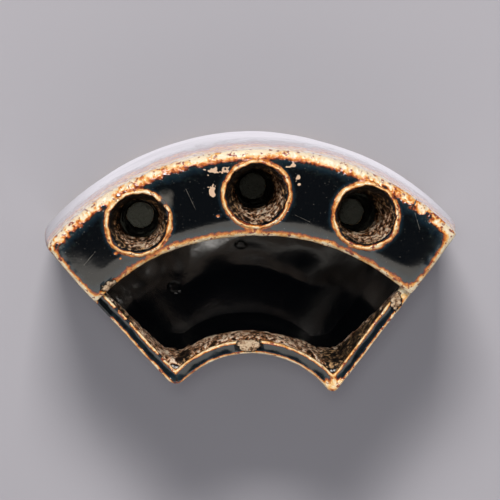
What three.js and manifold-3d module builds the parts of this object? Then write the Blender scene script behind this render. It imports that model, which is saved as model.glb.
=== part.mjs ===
// A fan-shaped stoneware brush holder, built from slabs, thrown tubes and rolled coils.
// Millimetres, +Z up. +X is to the right, and +Y points to the convex back.

import * as THREE from 'three';
import * as BufferGeometryUtils from 'three/addons/utils/BufferGeometryUtils.js';
import Module from 'manifold-3d';

const wasm = await Module();
wasm.setup();

// Heights
const vesselHeight = 105;
const baseThickness = 5;
const deckThickness = 5;

// Plan of the mouth: four corners, with a straight line between the two feet as the base line.
// It is cut by hand, so the right back corner and the left foot stand a little further back, and the
// back corners stand a little to the left.
const mouthWidth = 124.4;
const footWidth = 47.6;
const sideDepth = 46.5;
const backSkew = 3.9;
const footSkew = 1.9;
const backShift = -0.9;

// How far each edge of the plan bows out of the straight line between its corners
const backRise = 27.4;
const frontRise = 11.5;
const sideBow = 0.4;

// How far the walls belly outwards at their fullest height
const bellyHeight = 42;
const backBelly = 3.5;
const sideBelly = 1.5;
const frontBelly = 1;

// Wall thicknesses
const backThickness = 2.8;
const sideThickness = 3.2;
const frontThickness = 4.2;
const dividerThickness = 2.2;

// Front edge of the deck: an arc, with its crown this far behind the line of the feet and a little to
// the right of its middle
const deckFrontCrown = 48;
const deckFrontRadius = 68.8;
const deckFrontShift = 0.5;
const deckChamfer = 1.2;

// Brush tubes: each narrows from its bore to its closed end
const sideBoreRadius = 8.1;
const middleBoreRadius = 8.4;
const tubeEndRadius = 4.6;
const tubeDepth = 50;
const tubeWall = 1.5;
const tubeFloor = 3;
const tubeEndChamfer = 1;
const shankBelowDeck = 2;
const lipHeight = 0.9;
const lipOverhang = 1.1;
const lipRound = 1.2;

// Each tube stands behind the divider with a clearance, and the outer two stand in from the side walls
const tubeInset = 23;
const tubes = [
  { name: 'brush_tube_left', besideWall: 'left', boreRadius: sideBoreRadius, clearance: 0.3 },
  { name: 'brush_tube_middle', besideWall: null, boreRadius: middleBoreRadius, clearance: 0.5 },
  { name: 'brush_tube_right', besideWall: 'right', boreRadius: sideBoreRadius, clearance: 1.1 },
];

// Coils pressed into the front corners of the compartment
const coilReach = 7;
const coilHollow = 0.35;
const coilDrop = 4;

// Gap that stays open in the seams between pieces
const seam = 0.3;

// Steps of the curved faces
const arcSteps = 24;
const sideSteps = 8;
const coilSteps = 4;
const heightSteps = 8;
const turnSteps = 36;

const rimHeight = vesselHeight - deckThickness;

// The circle that bows by the given rise out of the line from start to end, to the right of that line
function bowedEdge(start, end, rise) {
  const along = end.clone().sub(start);
  const halfChord = along.length() / 2;
  const outwards = new THREE.Vector2(along.y, -along.x).normalize();
  const side = Math.sign(rise);
  const radius = (halfChord ** 2 + rise ** 2) / (2 * Math.abs(rise));
  const crown = start.clone().lerp(end, 0.5).addScaledVector(outwards, rise);
  return { centre: crown.addScaledVector(outwards, -side * radius), radius, side };
}

function moveOut(edge, distance) {
  return { ...edge, radius: edge.radius + edge.side * distance };
}

// The point nearest to a guess where two edges cross
function cross(edgeA, edgeB, guess) {
  const between = edgeB.centre.clone().sub(edgeA.centre);
  const apart = between.length();
  const along = (apart ** 2 + edgeA.radius ** 2 - edgeB.radius ** 2) / (2 * apart);
  const across = Math.sqrt(edgeA.radius ** 2 - along ** 2);
  const unit = between.divideScalar(apart);
  const foot = edgeA.centre.clone().addScaledVector(unit, along);
  const first = new THREE.Vector2(foot.x - unit.y * across, foot.y + unit.x * across);
  const second = new THREE.Vector2(foot.x + unit.y * across, foot.y - unit.x * across);
  return first.distanceTo(guess) < second.distanceTo(guess) ? first : second;
}

// Points along an edge from one end to the other, each end drawn in by the trim
function runAlong(edge, start, end, steps, trim = 0) {
  const first = start.clone().sub(edge.centre).angle();
  let turn = end.clone().sub(edge.centre).angle() - first;
  if (turn > Math.PI) turn -= 2 * Math.PI;
  if (turn < -Math.PI) turn += 2 * Math.PI;
  const inset = Math.sign(turn) * trim / edge.radius;
  const points = [];
  for (let step = 0; step <= steps; step++) {
    const angle = first + inset + (turn - 2 * inset) * step / steps;
    const spoke = new THREE.Vector2(Math.cos(angle), Math.sin(angle));
    points.push(spoke.multiplyScalar(edge.radius).add(edge.centre));
  }
  return points;
}

const corners = {
  leftFoot: new THREE.Vector2(-footWidth / 2, footSkew / 2),
  rightFoot: new THREE.Vector2(footWidth / 2, -footSkew / 2),
  rightBack: new THREE.Vector2(backShift + mouthWidth / 2, sideDepth + backSkew / 2),
  leftBack: new THREE.Vector2(backShift - mouthWidth / 2, sideDepth - backSkew / 2),
};

// The four walls in turn, anticlockwise from above, each from its start corner to its end corner
const walls = {
  front: {
    edge: bowedEdge(corners.leftFoot, corners.rightFoot, -frontRise),
    start: 'leftFoot', end: 'rightFoot', before: 'left', after: 'right',
    belly: frontBelly, thickness: frontThickness, steps: arcSteps,
  },
  right: {
    edge: bowedEdge(corners.rightFoot, corners.rightBack, sideBow),
    start: 'rightFoot', end: 'rightBack', before: 'front', after: 'back',
    belly: sideBelly, thickness: sideThickness, steps: sideSteps,
  },
  back: {
    edge: bowedEdge(corners.rightBack, corners.leftBack, backRise),
    start: 'rightBack', end: 'leftBack', before: 'right', after: 'left',
    belly: backBelly, thickness: backThickness, steps: arcSteps,
  },
  left: {
    edge: bowedEdge(corners.leftBack, corners.leftFoot, sideBow),
    start: 'leftBack', end: 'leftFoot', before: 'back', after: 'front',
    belly: sideBelly, thickness: sideThickness, steps: sideSteps,
  },
};

const deckFront = {
  centre: new THREE.Vector2(deckFrontShift, deckFrontCrown - deckFrontRadius),
  radius: deckFrontRadius,
  side: -1,
};

// Share of the belly at a height: none at the mouth, all of it at the fullest height
function fullness(height) {
  return 1 - ((height - bellyHeight) / (vesselHeight - bellyHeight)) ** 2;
}

function outerFace(name, height, inset = 0) {
  return moveOut(walls[name].edge, walls[name].belly * fullness(height) - inset);
}

function innerFace(name, height, gap = 0) {
  return outerFace(name, height, walls[name].thickness + gap);
}

function outerCorner(nameA, nameB, cornerName, height, inset = 0) {
  return cross(outerFace(nameA, height, inset), outerFace(nameB, height, inset), corners[cornerName]);
}

function atHeight(points, height) {
  return points.map((point) => new THREE.Vector3(point.x, point.y, height));
}

// A closed solid through a stack of outlines, anticlockwise from above, each with as many points
function loft(outlines) {
  const count = outlines[0].length;
  const positions = outlines.flat().flatMap((point) => point.toArray());
  const faces = [];
  for (let level = 0; level < outlines.length - 1; level++) {
    for (let here = 0; here < count; here++) {
      const next = (here + 1) % count;
      const low = level * count;
      const high = low + count;
      faces.push(low + here, low + next, high + next);
      faces.push(low + here, high + next, high + here);
    }
  }
  const top = (outlines.length - 1) * count;
  const flat = outlines[0].map((point) => new THREE.Vector2(point.x, point.y));
  for (const [a, b, c] of THREE.ShapeUtils.triangulateShape(flat, [])) {
    faces.push(a, c, b);
    faces.push(top + a, top + b, top + c);
  }
  const geometry = new THREE.BufferGeometry();
  geometry.setAttribute('position', new THREE.Float32BufferAttribute(positions, 3));
  geometry.setIndex(faces);
  geometry.computeVertexNormals();
  return geometry;
}

function loftBetween(bottom, top, steps, outlineAt) {
  const outlines = [];
  for (let step = 0; step <= steps; step++) {
    const height = bottom + (top - bottom) * step / steps;
    outlines.push(atHeight(outlineAt(height), height));
  }
  return loft(outlines);
}

function makeBase() {
  const outline = (height) => Object.entries(walls).flatMap(([name, wall]) => {
    const start = outerCorner(wall.before, name, wall.start, height);
    const end = outerCorner(name, wall.after, wall.end, height);
    return runAlong(outerFace(name, height), start, end, wall.steps).slice(0, -1);
  });
  return loftBetween(0, baseThickness, 1, outline);
}

// A wall stands on the base and is mitred to its neighbours, with half a seam left open at each end
function makeWall(name) {
  const wall = walls[name];
  const trim = seam * Math.SQRT1_2;
  const outline = (height) => {
    const outer = outerFace(name, height);
    const inner = innerFace(name, height);
    const startOut = outerCorner(wall.before, name, wall.start, height);
    const endOut = outerCorner(name, wall.after, wall.end, height);
    const startIn = cross(innerFace(wall.before, height), inner, corners[wall.start]);
    const endIn = cross(inner, innerFace(wall.after, height), corners[wall.end]);
    return [
      ...runAlong(outer, startOut, endOut, wall.steps, trim),
      ...runAlong(inner, endIn, startIn, wall.steps, trim),
    ];
  };
  return loftBetween(baseThickness, rimHeight, heightSteps, outline);
}

// The partition under the front edge of the deck, from one side wall to the other
function makeDivider() {
  const outline = (height) => {
    const left = innerFace('left', height, seam);
    const right = innerFace('right', height, seam);
    const rear = moveOut(deckFront, -dividerThickness);
    const guessLeft = new THREE.Vector2(-mouthWidth / 2, deckFrontCrown);
    const guessRight = new THREE.Vector2(mouthWidth / 2, deckFrontCrown);
    const face = [cross(deckFront, left, guessLeft), cross(deckFront, right, guessRight)];
    const back = [cross(rear, right, guessRight), cross(rear, left, guessLeft)];
    return [
      ...runAlong(deckFront, face[0], face[1], arcSteps),
      ...runAlong(rear, back[0], back[1], arcSteps),
    ];
  };
  return loftBetween(baseThickness, rimHeight, heightSteps, outline);
}

function tubeCentre(tube) {
  const arc = moveOut(deckFront, -(dividerThickness + tube.clearance + tube.boreRadius + tubeWall));
  if (!tube.besideWall) return new THREE.Vector2(0, arc.radius).add(arc.centre);
  const end = cross(arc, innerFace(tube.besideWall, rimHeight), corners[`${tube.besideWall}Back`]);
  const inwards = tube.besideWall === 'left' ? -1 : 1;
  return end.rotateAround(arc.centre, inwards * tubeInset / arc.radius);
}

function toSolid(geometry) {
  const plain = geometry.clone();
  plain.deleteAttribute('normal');
  plain.deleteAttribute('uv');
  const merged = BufferGeometryUtils.mergeVertices(plain);
  return new wasm.Manifold(new wasm.Mesh({
    numProp: 3,
    vertProperties: new Float32Array(merged.attributes.position.array),
    triVerts: new Uint32Array(merged.index.array),
  }));
}

function fromSolid(solid) {
  const mesh = solid.getMesh();
  const geometry = new THREE.BufferGeometry();
  geometry.setAttribute('position', new THREE.BufferAttribute(mesh.vertProperties, 3));
  geometry.setIndex(new THREE.BufferAttribute(mesh.triVerts, 1));
  geometry.computeVertexNormals();
  return geometry;
}

// The deck lies on the walls, its upper edge is bevelled, and each tube passes through it
function makeDeck() {
  const outline = (height, inset) => {
    const front = moveOut(deckFront, -inset);
    const guessLeft = new THREE.Vector2(-mouthWidth / 2, deckFrontCrown);
    const guessRight = new THREE.Vector2(mouthWidth / 2, deckFrontCrown);
    const left = outerFace('left', height, inset);
    const right = outerFace('right', height, inset);
    const back = outerFace('back', height, inset);
    const frontLeft = cross(front, left, guessLeft);
    const frontRight = cross(front, right, guessRight);
    const backRight = outerCorner('right', 'back', 'rightBack', height, inset);
    const backLeft = outerCorner('back', 'left', 'leftBack', height, inset);
    return atHeight([
      ...runAlong(front, frontLeft, frontRight, arcSteps).slice(0, -1),
      ...runAlong(right, frontRight, backRight, sideSteps).slice(0, -1),
      ...runAlong(back, backRight, backLeft, arcSteps).slice(0, -1),
      ...runAlong(left, backLeft, frontLeft, sideSteps).slice(0, -1),
    ], height);
  };
  let slab = toSolid(loft([
    outline(rimHeight, 0),
    outline(vesselHeight - deckChamfer, 0),
    outline(vesselHeight, deckChamfer),
  ]));
  for (const tube of tubes) {
    const centre = tubeCentre(tube);
    const hole = new THREE.CylinderGeometry(
      tube.boreRadius + tubeWall + seam, tube.boreRadius + tubeWall + seam, 2 * deckThickness, turnSteps,
    );
    hole.rotateX(Math.PI / 2);
    hole.translate(centre.x, centre.y, rimHeight + deckThickness / 2);
    slab = slab.subtract(toSolid(hole));
  }
  return fromSolid(slab);
}

// A closed-end tube that narrows downwards, with a lip turned out over the deck.
// Its own height runs from zero at the top of the deck.
function makeTube(tube) {
  const bore = tube.boreRadius;
  const shank = bore + tubeWall;
  const lip = shank + lipOverhang;
  const profile = [
    [0, -tubeDepth - tubeFloor],
    [tubeEndRadius + tubeWall - tubeEndChamfer, -tubeDepth - tubeFloor],
    [tubeEndRadius + tubeWall, -tubeDepth - tubeFloor + tubeEndChamfer],
    [shank, -deckThickness - shankBelowDeck],
    [shank, 0],
    [lip, 0],
    [lip, lipHeight / 2],
    [lip - lipOverhang / 2, lipHeight],
    [bore + lipRound, lipHeight],
    [bore + lipRound / 2, lipHeight / 2],
    [bore, -lipRound],
    [tubeEndRadius, -tubeDepth],
    [0, -tubeDepth],
  ].map(([radius, height]) => new THREE.Vector2(radius, height));
  const geometry = new THREE.LatheGeometry(profile, turnSteps);
  geometry.rotateX(Math.PI / 2);
  return geometry;
}

// A roll of clay pressed into a front corner: two faces along the walls and a hollow face between them
function makeCornerCoil(side) {
  const cornerName = `${side}Foot`;
  const outline = (height) => {
    const wallFace = innerFace(side, height, seam);
    const frontFace = innerFace('front', height, seam);
    const corner = cross(wallFace, frontFace, corners[cornerName]);
    const reach = { centre: corner, radius: coilReach };
    const onWall = cross(wallFace, reach, corners[`${side}Back`]);
    const onFront = cross(frontFace, reach, new THREE.Vector2(0, frontRise));
    const [from, to] = side === 'left' ? [onFront, onWall] : [onWall, onFront];
    const middle = onWall.clone().lerp(onFront, 0.5).lerp(corner, coilHollow);
    const hollow = new THREE.SplineCurve([from, middle, to]);
    return [corner, ...hollow.getPoints(coilSteps)];
  };
  return loftBetween(baseThickness, rimHeight - coilDrop, heightSteps, outline);
}

function piece(name, geometry, color, roughness) {
  const mesh = new THREE.Mesh(geometry, new THREE.MeshStandardMaterial({ color, roughness, metalness: 0 }));
  mesh.name = name;
  return mesh;
}

const glaze = 0x14171c;
const glazeRoughness = 0.12;
const thinGlaze = 0x9a7248;
const thinGlazeRoughness = 0.35;
const bareClay = 0xb98f62;
const bareClayRoughness = 0.8;

const holder = new THREE.Group();
holder.add(piece('base_slab', makeBase(), bareClay, bareClayRoughness));
for (const name of Object.keys(walls)) {
  holder.add(piece(`${name}_wall`, makeWall(name), glaze, glazeRoughness));
}
holder.add(piece('divider_wall', makeDivider(), glaze, glazeRoughness));
holder.add(piece('deck_slab', makeDeck(), glaze, glazeRoughness));
for (const tube of tubes) {
  const centre = tubeCentre(tube);
  const mesh = piece(tube.name, makeTube(tube), thinGlaze, thinGlazeRoughness);
  mesh.position.set(centre.x, centre.y, vesselHeight);
  holder.add(mesh);
}
for (const side of ['left', 'right']) {
  holder.add(piece(`front_${side}_corner_coil`, makeCornerCoil(side), thinGlaze, thinGlazeRoughness));
}

// The origin is the middle of the foot, on the surface that the vessel stands on
const extent = new THREE.Box3().setFromObject(holder);
const middle = extent.getCenter(new THREE.Vector3());
holder.position.set(-middle.x, -middle.y, 0);

export default holder;
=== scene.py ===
# %% [markdown]
# # A fan-shaped brush holder in blue-black glazed stoneware
# The real vessel is built by hand from slabs: a base, four walls, a curved divider, and a deck with
# three tapered brush tubes. Glaze covers nearly all of it, and it runs thin on every edge, where the clay
# shows through as rust, tan and cream. Each piece here is modelled in bmesh in millimetres, in the plan of
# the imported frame, and is moved into the frame in metres at the end.

# %% Load the frame
import math
from collections import namedtuple
from functools import partial

import bmesh
import bpy
from mathutils import Matrix, Vector, noise


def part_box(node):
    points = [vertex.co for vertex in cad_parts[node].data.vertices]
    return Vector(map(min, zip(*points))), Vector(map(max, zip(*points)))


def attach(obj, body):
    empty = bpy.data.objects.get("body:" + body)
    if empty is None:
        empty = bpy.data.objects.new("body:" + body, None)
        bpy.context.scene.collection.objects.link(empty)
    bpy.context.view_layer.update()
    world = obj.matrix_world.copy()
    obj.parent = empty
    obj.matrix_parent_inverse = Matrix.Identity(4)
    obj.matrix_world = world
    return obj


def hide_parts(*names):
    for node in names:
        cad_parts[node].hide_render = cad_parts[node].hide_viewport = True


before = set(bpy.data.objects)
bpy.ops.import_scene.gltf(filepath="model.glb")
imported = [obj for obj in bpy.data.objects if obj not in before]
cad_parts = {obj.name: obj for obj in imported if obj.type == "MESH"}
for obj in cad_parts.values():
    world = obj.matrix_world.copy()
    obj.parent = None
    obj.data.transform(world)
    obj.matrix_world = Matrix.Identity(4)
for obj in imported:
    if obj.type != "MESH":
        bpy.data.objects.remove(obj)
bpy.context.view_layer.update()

print("frame nodes:", sorted(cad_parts))

# %% [markdown]
# ## Sizes
# The plan is drawn like the slabs were cut: four corners, and an edge that bows between each two. The
# sizes are those of the frame, so every piece lands on the node that it stands for. The plan's own origin
# is the middle of the line between the two front feet. The middle brush tube tells where that lies in the
# frame.

# %% Driving sizes in millimetres
MM = 0.001
VESSEL_HEIGHT = 105.0
BASE_THICKNESS = 5.0
DECK_THICKNESS = 5.0
RIM_HEIGHT = VESSEL_HEIGHT - DECK_THICKNESS

MOUTH_WIDTH = 124.4
FOOT_WIDTH = 47.6
SIDE_DEPTH = 46.5
BACK_SKEW = 3.9
FOOT_SKEW = 1.9
BACK_SHIFT = -0.9
BACK_RISE = 27.4
FRONT_RISE = 11.5
SIDE_BOW = 0.4

BELLY_HEIGHT = 42.0
BELLY = {"front": 1.0, "right": 1.5, "back": 3.5, "left": 1.5}
THICKNESS = {"front": 4.3, "right": 3.9, "back": 2.8, "left": 3.8}
DIVIDER_THICKNESS = 2.2

DECK_FRONT_CROWN = 48.0
DECK_FRONT_RADIUS = 68.8
DECK_FRONT_SHIFT = 0.5

TUBE_DEPTH = 50.0
TUBE_WALL = 1.5
TUBE_END_RADIUS = 4.6
TUBE_BORES = {"left": 8.1, "middle": 8.4, "right": 8.1}
MIDDLE_TUBE_CLEARANCE = 0.5


def box_middle(name):
    low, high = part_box(name)
    return Vector([(a + b) / 2 / MM for a, b in zip(low, high)])


middle_tube_in_plan = Vector((
    DECK_FRONT_SHIFT,
    DECK_FRONT_CROWN + DIVIDER_THICKNESS + MIDDLE_TUBE_CLEARANCE + TUBE_BORES["middle"] + TUBE_WALL,
))
PLAN_TO_FRAME = box_middle("brush_tube_middle").xy - middle_tube_in_plan
TUBE_CENTRES = {
    side: box_middle(f"brush_tube_{side}").xy - PLAN_TO_FRAME for side in ("left", "middle", "right")
}
print("plan origin in the frame, mm:", tuple(round(v, 2) for v in PLAN_TO_FRAME))

# %% [markdown]
# ## Camera, floor and light
# The photograph looks straight into the mouth from about 0.9 m with a long lens. Here the vessel stands
# up, so the camera hangs above it and looks down. It is placed by two points of the picture: the one
# where all upright lines would meet, which is right below the camera, and the picture's centre.

# %% Camera
PHOTO_SIZE = 500
MM_PER_PIXEL = 0.303
CAMERA_ABOVE_DECK = 900.0
ORIGIN_PIXEL = Vector((252.0, 271.2))
NADIR_PIXEL = Vector((173.0, 50.0))
CENTRE_PIXEL = Vector((250.0, 250.0))


def deck_point(pixel):
    """The place in the frame, in mm, of a pixel of the photograph, on the level of the deck."""
    x = (pixel[0] - ORIGIN_PIXEL.x) * MM_PER_PIXEL
    y = (ORIGIN_PIXEL.y - pixel[1]) * MM_PER_PIXEL
    return Vector((x, y, VESSEL_HEIGHT))


def looking(place, target, top):
    """The turn that looks from a place at a target, with the picture's top towards the top vector."""
    backwards = (place - target).normalized()
    right = top.cross(backwards).normalized()
    return Matrix((right, backwards.cross(right), backwards)).transposed().to_euler()


def linked(name, data):
    """Puts a new object into the scene."""
    made = bpy.data.objects.new(name, data)
    bpy.context.scene.collection.objects.link(made)
    return made


PICTURE_TOP = Vector((0, 1, 0))
camera_place = deck_point(NADIR_PIXEL) + Vector((0, 0, CAMERA_ABOVE_DECK))
camera_target = deck_point(CENTRE_PIXEL)
camera_data = bpy.data.cameras.new("camera")
camera_data.sensor_width = 36.0
view_distance = (camera_target - camera_place).length
camera_data.lens = camera_data.sensor_width * view_distance / (PHOTO_SIZE * MM_PER_PIXEL)
camera = linked("camera", camera_data)
camera.location = camera_place * MM
camera.rotation_euler = looking(camera_place, camera_target, PICTURE_TOP)
bpy.context.scene.camera = camera
bpy.context.scene.view_settings.view_transform = "Standard"
print("lens, mm:", round(camera_data.lens, 1))


# %% [markdown]
# Colours are written as sRGB hex, as a picker shows them, and one function turns them to the linear
# values that the renderer works in. One more function adds a node of any kind, with its settings and its
# links, and gives back the output that feeds the next one.

# %% Colour and node helpers
def linear(hex_colour):
    """An sRGB hex colour as linear RGBA."""
    channels = []
    for start in (0, 2, 4):
        value = int(hex_colour[start:start + 2], 16) / 255
        channels.append(value / 12.92 if value <= 0.04045 else ((value + 0.055) / 1.055) ** 2.4)
    return (*channels, 1.0)


def add(tree, kind, *inputs, output=None, stops=(), **settings):
    """Adds a node of any kind and returns the output that is asked for, or else its first one.

    The kind is Blender's name, with the operation after a dot where there is one. The inputs are numbers,
    hex colours or other nodes' outputs, in the order that the node shows, or by name in a dictionary.
    """
    kind, _, operation = kind.partition(".")
    made = tree.nodes.new(f"ShaderNode{kind}")
    if operation:
        made.operation = operation
    for setting, value in settings.items():
        setattr(made, setting, value)
    for index, (position, colour) in enumerate(stops):
        elements = made.color_ramp.elements
        stop = elements[index] if index < 2 else elements.new(position)
        stop.position = position
        stop.color = linear(colour)
    if inputs and isinstance(inputs[0], dict):
        fed = [(made.inputs[name], value) for name, value in inputs[0].items()]
    else:
        fed = zip([socket for socket in made.inputs if socket.enabled], inputs)
    for socket, value in fed:
        if isinstance(value, bpy.types.NodeSocket):
            tree.links.new(value, socket)
        else:
            socket.default_value = linear(value) if isinstance(value, str) else value
    if output:
        return made.outputs[output]
    return next((socket for socket in made.outputs if socket.enabled), None)


def empty_tree(owner):
    """The node tree of a material or a world, without the nodes that it starts with."""
    owner.use_nodes = True
    owner.node_tree.nodes.clear()
    return owner.node_tree


def shown(name, bm):
    """Turns a bmesh into an object of the scene."""
    mesh = bpy.data.meshes.new(name)
    bm.to_mesh(mesh)
    bm.free()
    return linked(name, mesh)


# %% [markdown]
# A pale, matt floor takes the vessel's soft shadow. The curved back wall mirrors a white card there, and
# that is the bright band at the top of the picture. A real card would show beside the vessel and light
# it, so the floor's material holds it instead, behind the vessel and for mirrored light alone. Elsewhere
# the floor is darker in the gloss, which keeps the other walls black.

# %% Floor
FLOOR_RADIUS = 3.0
FLOOR_SIDES = 96
FLOOR_COLOUR = "bdbcc4"
FLOOR_IN_GLOSS = "f2edf5"
CARD_REACH = 0.12
CARD_FRONT = 0.0
CARD_SOFTNESS = 0.03
FAR_GLOW = 0.25


def card_brightness(tree):
    """How bright the floor is in the gloss: 1 on the card, and weaker all round it."""
    place = add(tree, "TexCoord", output="Object")
    near = add(tree, "MapRange", add(tree, "VectorMath.LENGTH", place), 2 * CARD_REACH, CARD_REACH)
    depth = add(tree, "SeparateXYZ", place, output="Y")
    behind = add(tree, "MapRange", depth, CARD_FRONT, CARD_FRONT + CARD_SOFTNESS)
    on_card = add(tree, "Math.MULTIPLY", near, behind)
    return add(tree, "MapRange", on_card, 0.0, 1.0, FAR_GLOW, 1.0)


def make_floor():
    bm = bmesh.new()
    bmesh.ops.create_circle(bm, cap_ends=True, radius=FLOOR_RADIUS, segments=FLOOR_SIDES)
    floor = shown("floor", bm)
    # Studio paint is rolled on and dries matt, so the shadow on it stays plain and soft.
    material = bpy.data.materials.new("painted_studio_floor")
    tree = empty_tree(material)
    paint = add(tree, "BsdfDiffuse", FLOOR_COLOUR)
    glow = add(tree, "Emission", FLOOR_IN_GLOSS, card_brightness(tree))
    in_gloss = add(tree, "LightPath", output="Is Glossy Ray")
    add(tree, "OutputMaterial", add(tree, "MixShader", in_gloss, paint, glow))
    floor.data.materials.append(material)
    print("floor, m across:", 2 * FLOOR_RADIUS)


make_floor()


# %% [markdown]
# A soft box above the vessel's back draws the bright edges of the rims and the rings, and a wide, weak
# card lights it from the front. The studio is dark overhead, where the flat glaze mirrors it, and paler
# towards the horizon, where the upright walls mirror it.

# %% Lights
LAMP_DISTANCE = 1.0


def area_light(name, direction, size, strength, colour):
    """A soft box that faces the vessel's mouth. The size is in metres, the strength in watts."""
    data = bpy.data.lights.new(name, "AREA")
    data.shape = "RECTANGLE"
    data.size, data.size_y = size
    data.energy = strength
    data.color = linear(colour)[:3]
    light = linked(name, data)
    target = Vector((0, 0, VESSEL_HEIGHT * MM))
    light.location = target + Vector(direction).normalized() * LAMP_DISTANCE
    light.rotation_euler = looking(light.location, target, PICTURE_TOP)
    return light


area_light("key_soft_box", (-0.06, 0.52, 0.85), (0.24, 0.24), 7.8, "fffaf4")
area_light("front_card", (0.05, -0.5, 0.86), (1.2, 0.6), 1.8, "fff8ee")
# A weak light beside the lens reaches the bottoms of the tubes. It is kept out of the gloss.
lens_light = area_light("lens_light", (-0.04, 0.1, 1.0), (0.08, 0.08), 1.2, "f6f8f2")
lens_light.visible_glossy = False

# %% Studio
ZENITH = "1d1f25"
HORIZON = "b4b3bd"


def make_studio():
    world = bpy.data.worlds.new("studio")
    tree = empty_tree(world)
    upwards = add(tree, "SeparateXYZ", add(tree, "TexCoord", output="Generated"), output="Z")
    sky = add(tree, "ValToRGB", upwards, stops=((0.25, HORIZON), (0.85, ZENITH)))
    add(tree, "OutputWorld", add(tree, "Background", sky, 1.0))
    bpy.context.scene.world = world
    print("lights:", len(bpy.data.lights), "and a studio sky")


make_studio()

# %% [markdown]
# ## The plan as circles
# Each edge of a slab is an arc, and an arc moved inwards keeps its centre. So a whole wall can be drawn
# from four circles: their crossings are the corners, and a small circle that touches two of them rounds
# a corner off. A closed loop of points is made for each height and depth of the surface, always with as
# many points, so that one loop can be extruded to the next.

# %% Arcs, corners and loops
Edge = namedtuple("Edge", "centre radius side")


def bowed_edge(start, end, rise):
    """The arc that bows by rise out of the line from start to end, to its right."""
    along = end - start
    half = along.length / 2
    outwards = Vector((along.y, -along.x)).normalized()
    side = math.copysign(1, rise)
    radius = (half ** 2 + rise ** 2) / (2 * abs(rise))
    centre = (start + end) / 2 + outwards * (rise - side * radius)
    return Edge(centre, radius, side)


def moved(edge, distance):
    """The same edge, moved outwards."""
    return Edge(edge.centre, edge.radius + edge.side * distance, edge.side)


def inset_of(edge, point):
    """How far a point lies inside an edge."""
    return edge.side * (edge.radius - (point - edge.centre).length)


def cross(one, other, guess):
    """The crossing of two edges that is nearest to a guess."""
    between = other.centre - one.centre
    apart = between.length
    along = (apart ** 2 + one.radius ** 2 - other.radius ** 2) / (2 * apart)
    across = math.sqrt(max(one.radius ** 2 - along ** 2, 0))
    unit = between / apart
    foot = one.centre + unit * along
    turned = Vector((-unit.y, unit.x)) * across
    return min((foot + turned, foot - turned), key=lambda place: (place - guess).length)


def arc_points(centre, start, end, count):
    """Points on the arc about a centre, from start to end the short way, both ends included."""
    radius = (start - centre).length
    first = math.atan2(start.y - centre.y, start.x - centre.x)
    turn = math.atan2(end.y - centre.y, end.x - centre.x) - first
    turn = (turn + math.pi) % (2 * math.pi) - math.pi
    angles = [first + turn * step / count for step in range(count + 1)]
    return [centre + Vector((math.cos(angle), math.sin(angle))) * radius for angle in angles]


def even_points(path, count):
    """Points at even distances along a path, its end left out."""
    lengths = [0.0]
    for here, there in zip(path, path[1:]):
        lengths.append(lengths[-1] + (there - here).length)
    points = []
    index = 0
    for step in range(count):
        wanted = lengths[-1] * step / count
        while lengths[index + 1] < wanted:
            index += 1
        share = (wanted - lengths[index]) / (lengths[index + 1] - lengths[index])
        points.append(path[index].lerp(path[index + 1], share))
    return points


ARC_DETAIL = 48
CORNER_DETAIL = 8


def closed_loop(edges, guesses, roundings, counts):
    """One loop round four edges. Corner i lies where edge i starts, and has its own rounding."""
    loop = []
    number = len(edges)
    for i, edge in enumerate(edges):
        before = edges[i - 1]
        after = edges[(i + 1) % number]
        path = []
        ends = []
        for other, guess, rounding in (
            (before, guesses[i], roundings[i]),
            (after, guesses[(i + 1) % number], roundings[(i + 1) % number]),
        ):
            corner = cross(edge, other, guess)
            centre = cross(moved(edge, -rounding), moved(other, -rounding), corner)
            touch = edge.centre + (centre - edge.centre).normalized() * edge.radius
            tip = centre + (corner - centre).normalized() * rounding
            ends.append((centre, touch, tip))
        path += arc_points(ends[0][0], ends[0][2], ends[0][1], CORNER_DETAIL)[:-1]
        path += arc_points(edge.centre, ends[0][1], ends[1][1], ARC_DETAIL)[:-1]
        path += arc_points(ends[1][0], ends[1][1], ends[1][2], CORNER_DETAIL)
        loop += even_points(path, counts[i])
    return loop


# %% The walls' plan
SIDES = ("front", "right", "back", "left")
CORNERS = {
    "front": Vector((-FOOT_WIDTH / 2, FOOT_SKEW / 2)),
    "right": Vector((FOOT_WIDTH / 2, -FOOT_SKEW / 2)),
    "back": Vector((BACK_SHIFT + MOUTH_WIDTH / 2, SIDE_DEPTH + BACK_SKEW / 2)),
    "left": Vector((BACK_SHIFT - MOUTH_WIDTH / 2, SIDE_DEPTH - BACK_SKEW / 2)),
}
EDGES = {
    "front": bowed_edge(CORNERS["front"], CORNERS["right"], -FRONT_RISE),
    "right": bowed_edge(CORNERS["right"], CORNERS["back"], SIDE_BOW),
    "back": bowed_edge(CORNERS["back"], CORNERS["left"], BACK_RISE),
    "left": bowed_edge(CORNERS["left"], CORNERS["front"], SIDE_BOW),
}
DECK_FRONT = Edge(Vector((DECK_FRONT_SHIFT, DECK_FRONT_CROWN - DECK_FRONT_RADIUS)), DECK_FRONT_RADIUS, -1)


def outer_face(side, height, inset=0.0):
    """The outside of a wall at a height, with its belly, moved inwards by the inset."""
    fullness = 1 - ((height - BELLY_HEIGHT) / (VESSEL_HEIGHT - BELLY_HEIGHT)) ** 2
    return moved(EDGES[side], BELLY[side] * fullness - inset)
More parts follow.
